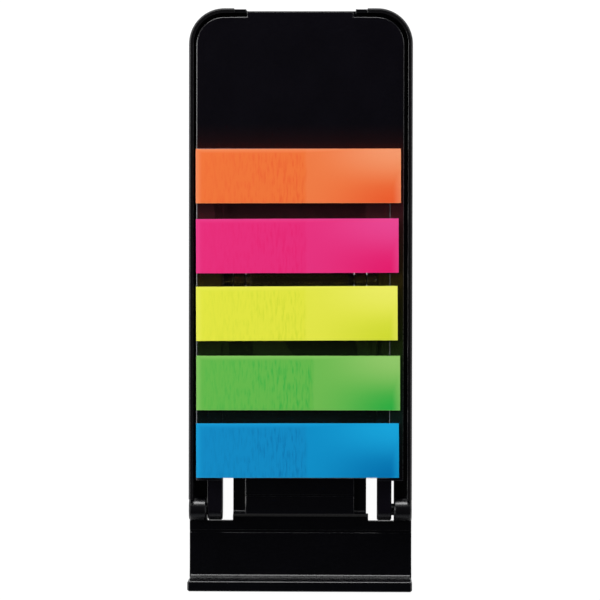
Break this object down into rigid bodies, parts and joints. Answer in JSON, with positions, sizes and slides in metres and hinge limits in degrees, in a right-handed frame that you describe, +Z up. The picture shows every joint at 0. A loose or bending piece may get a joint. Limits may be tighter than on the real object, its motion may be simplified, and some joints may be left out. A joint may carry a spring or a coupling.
{
  "type": "folding phone stand with film index tabs",
  "caption": "Slim black folding phone stand, closed flat, with pads of coloured film index tabs stuck on its back plate.",
  "frame": {"origin": "middle of the case's underside, on the table", "axes": "+X across the case to the right, +Y along it from the lip to the rounded far end, +Z up from the table towards the tabs"},
  "size_m": [0.049, 0.1274, 0.0115],
  "materials": {
    "black_plastic": "fine matt grain with a satin sheen on the edges",
    "pin_steel": "satin",
    "clear_film": "clear thin film",
    "film_orange": "satin coloured film, with a textured adhesive half and a smooth tip",
    "film_pink": "satin coloured film, with a textured adhesive half and a smooth tip",
    "film_yellow": "satin coloured film, with a textured adhesive half and a smooth tip",
    "film_green": "satin coloured film, with a textured adhesive half and a smooth tip",
    "film_blue": "satin coloured film, with a textured adhesive half and a smooth tip"
  },
  "bodies": {
    "case": {"base_tray": "black_plastic"},
    "plate": {"back_plate": "black_plastic", "strut_pin": "pin_steel", "liner_sheet": "clear_film", "tab_pad_orange": "film_orange", "tab_pad_pink": "film_pink", "tab_pad_yellow": "film_yellow", "tab_pad_green": "film_green", "tab_pad_blue": "film_blue"},
    "prop": {"strut": "black_plastic"}
  },
  "joints": [
    {"name": "plate_hinge", "type": "hinge", "parent": "case", "child": "plate", "pos_m": [0, -0.04634, 0.0034], "axis": [1, 0, 0], "range_deg": [0, 110]},
    {"name": "strut_pivot", "type": "hinge", "parent": "plate", "child": "prop", "pos_m": [0, 0.00422, 0.0034], "axis": [1, 0, 0], "range_deg": [0, 75]}
  ]
}
